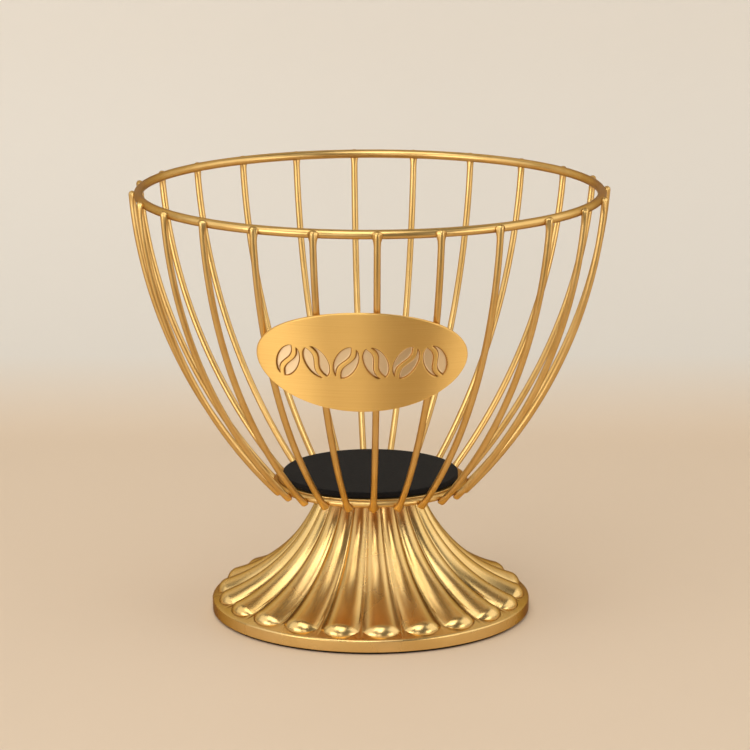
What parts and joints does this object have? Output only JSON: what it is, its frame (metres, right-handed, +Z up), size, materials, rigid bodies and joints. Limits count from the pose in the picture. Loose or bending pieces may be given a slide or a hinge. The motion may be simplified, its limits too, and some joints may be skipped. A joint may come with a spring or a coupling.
{
  "type": "coffee capsule rack",
  "caption": "Open wire basket on a lobed trumpet foot, with an oval plaque on the front, for keeping coffee capsules.",
  "frame": {"origin": "on the table, under the centre of the foot", "axes": "+Z up, the plaque faces -Y, +X to the right as seen from the front"},
  "size_m": [0.16, 0.16, 0.1456],
  "materials": {
    "gold_wire": "satin champagne gold plating on round steel wire",
    "gold_sheet": "satin champagne gold plating on steel sheet",
    "brushed_plaque": "sheet brushed with a level hairline grain and plated gold, with sunk beans",
    "gold_casting": "satin gold plating on a die casting, slightly grainy",
    "black_liner": "matt black foam sheet",
    "foam_pad": "dark closed-cell foam",
    "zinc_steel": "bright zinc-plated steel"
  },
  "bodies": {
    "root": {"rim_ring": "gold_wire", "floor_ring": "gold_wire", "rib_01": "gold_wire", "rib_02": "gold_wire", "rib_03": "gold_wire", "rib_04": "gold_wire", "rib_05": "gold_wire", "rib_06": "gold_wire", "rib_07": "gold_wire", "rib_08": "gold_wire", "rib_09": "gold_wire", "rib_10": "gold_wire", "rib_11": "gold_wire", "rib_12": "gold_wire", "rib_13": "gold_wire", "rib_14": "gold_wire", "rib_15": "gold_wire", "rib_16": "gold_wire", "rib_17": "gold_wire", "rib_18": "gold_wire", "rib_19": "gold_wire", "rib_20": "gold_wire", "rib_21": "gold_wire", "rib_22": "gold_wire", "rib_23": "gold_wire", "rib_24": "gold_wire", "floor_plate": "gold_sheet", "plaque": "brushed_plaque", "pedestal": "gold_casting", "floor_mat": "black_liner", "foot_pad": "foam_pad", "basket_stud": "zinc_steel", "clamp_washer": "zinc_steel", "hex_nut": "zinc_steel"}
  },
  "joints": []
}
